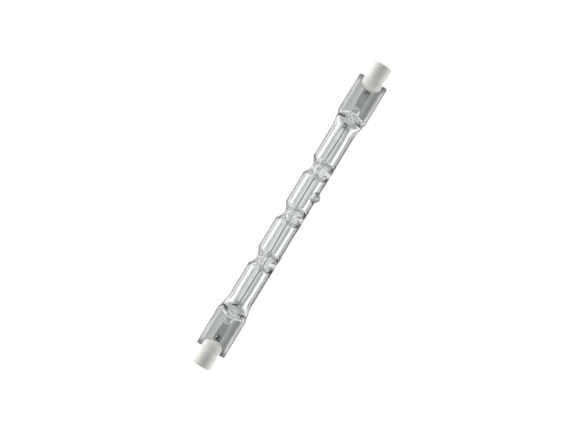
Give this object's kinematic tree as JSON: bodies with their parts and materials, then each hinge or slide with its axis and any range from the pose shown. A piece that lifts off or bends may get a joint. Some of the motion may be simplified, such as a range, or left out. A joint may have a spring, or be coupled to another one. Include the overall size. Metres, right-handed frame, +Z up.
{
  "type": "linear halogen bulb",
  "caption": "Double-ended linear halogen bulb: a clear dimpled quartz tube with flat pinched ends, white ceramic caps with recessed contacts and a tungsten coil along its axis.",
  "frame": {"origin": "middle of the lamp's axis", "axes": "+X along the lamp towards the right cap, +Z up from the surface that the lamp lies on, with the flats of the pinches level"},
  "size_m": [0.1176, 0.0108, 0.0092],
  "materials": {
    "quartz": "clear fused quartz, fire polished",
    "tungsten": "drawn tungsten wire, coiled, dark grey",
    "molybdenum": "rolled and drawn molybdenum, dull grey",
    "steatite": "pressed and fired steatite, white, unglazed, satin",
    "cement": "set cement, off-white, matt",
    "nickel": "nickel-plated contact, bright"
  },
  "bodies": {
    "root": {"quartz_envelope": "quartz", "filament_coil": "tungsten", "inner_lead_left": "molybdenum", "inner_lead_right": "molybdenum", "seal_foil_left": "molybdenum", "seal_foil_right": "molybdenum", "outer_lead_left": "molybdenum", "outer_lead_right": "molybdenum", "ceramic_cap_left": "steatite", "ceramic_cap_right": "steatite", "cap_cement_left": "cement", "cap_cement_right": "cement", "contact_left": "nickel", "contact_right": "nickel"}
  },
  "joints": []
}
